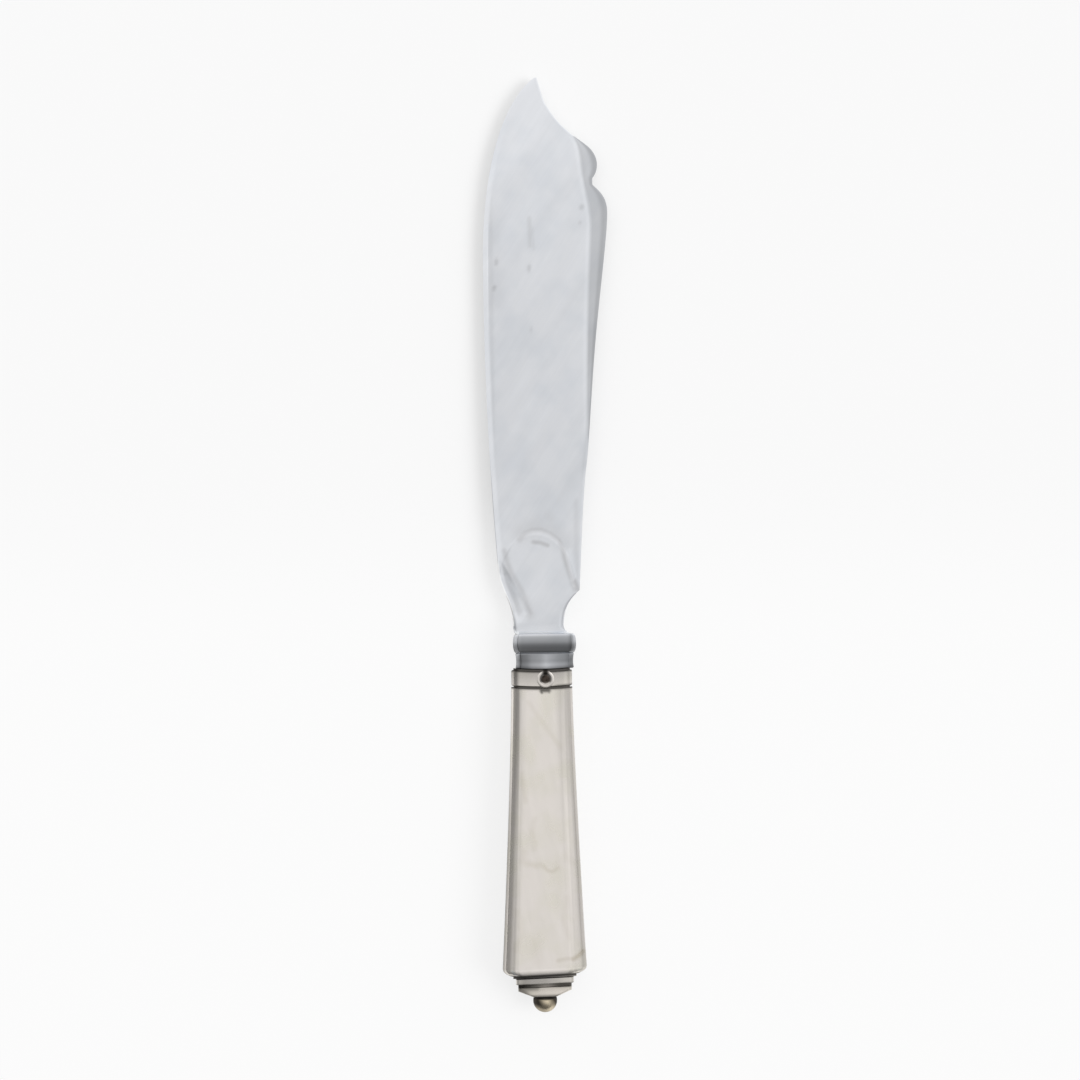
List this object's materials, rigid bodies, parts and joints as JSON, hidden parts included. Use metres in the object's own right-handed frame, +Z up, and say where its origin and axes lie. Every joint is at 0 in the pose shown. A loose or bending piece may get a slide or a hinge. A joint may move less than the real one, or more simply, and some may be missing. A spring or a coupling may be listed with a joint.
{
  "type": "fish knife",
  "caption": "Long fish knife with a notched, bevelled steel blade, a stepped bolster and a tapered hollow silver handle that ends in stepped plates and a ball.",
  "frame": {"origin": "centre of the knife's bounding box, on the plane that it lies on", "axes": "+Y along the knife towards the tip, +X towards the notched back of the blade, +Z up, out of the front face"},
  "size_m": [0.0361, 0.27, 0.013],
  "materials": {
    "blade_steel": "satin",
    "silver": "polished",
    "oxidised_silver": "satin",
    "cement": "matte"
  },
  "bodies": {
    "root": {"blade": "blade_steel", "collar": "silver", "bead_ring_front": "silver", "bead_front": "oxidised_silver", "bead_ring_back": "silver", "bead_back": "oxidised_silver", "handle_front_shell": "silver", "handle_back_shell": "silver", "handle_filler": "cement", "end_plate_large": "silver", "end_plate_small": "silver", "end_ball": "silver"}
  },
  "joints": []
}
